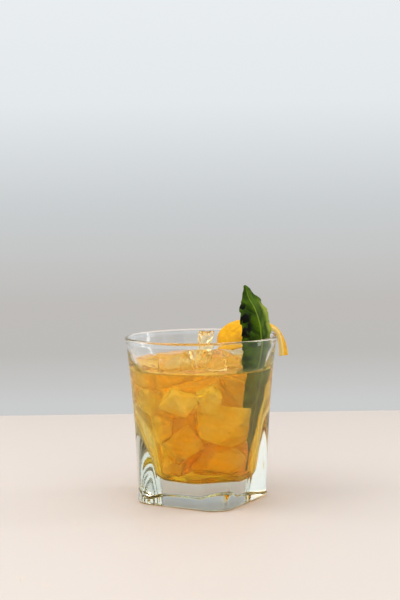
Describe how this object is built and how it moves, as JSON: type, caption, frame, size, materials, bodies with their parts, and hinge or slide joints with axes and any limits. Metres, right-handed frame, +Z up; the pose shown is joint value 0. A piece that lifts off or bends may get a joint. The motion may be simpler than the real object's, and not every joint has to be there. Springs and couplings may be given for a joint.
{
  "type": "whiskey sour",
  "caption": "Whiskey sour over ice in a square-footed rocks tumbler, with a tall green leaf and a strip of lemon peel over the rim.",
  "frame": {"origin": "middle of the flat foot, on the table", "axes": "+Z up the glass's axis; the foot's flat sides face X and Y; the leaf leans on the wall at +X"},
  "size_m": [0.088, 0.088, 0.1241],
  "materials": {
    "clear_glass": "clear, polished",
    "amber_drink": "clear golden amber liquid, slightly cloudy",
    "ice": "clear, wet, tinted by the drink",
    "green_leaf": "satin, veined leaf",
    "lemon_peel": "satin, pitted peel with pale pith"
  },
  "bodies": {
    "root": {"tumbler": "clear_glass", "drink": "amber_drink", "ice_1": "ice", "ice_2": "ice", "ice_3": "ice", "ice_4": "ice", "ice_5": "ice", "ice_6": "ice", "ice_7": "ice", "ice_8": "ice", "ice_9": "ice", "leaf": "green_leaf", "lemon_peel": "lemon_peel"}
  },
  "joints": []
}
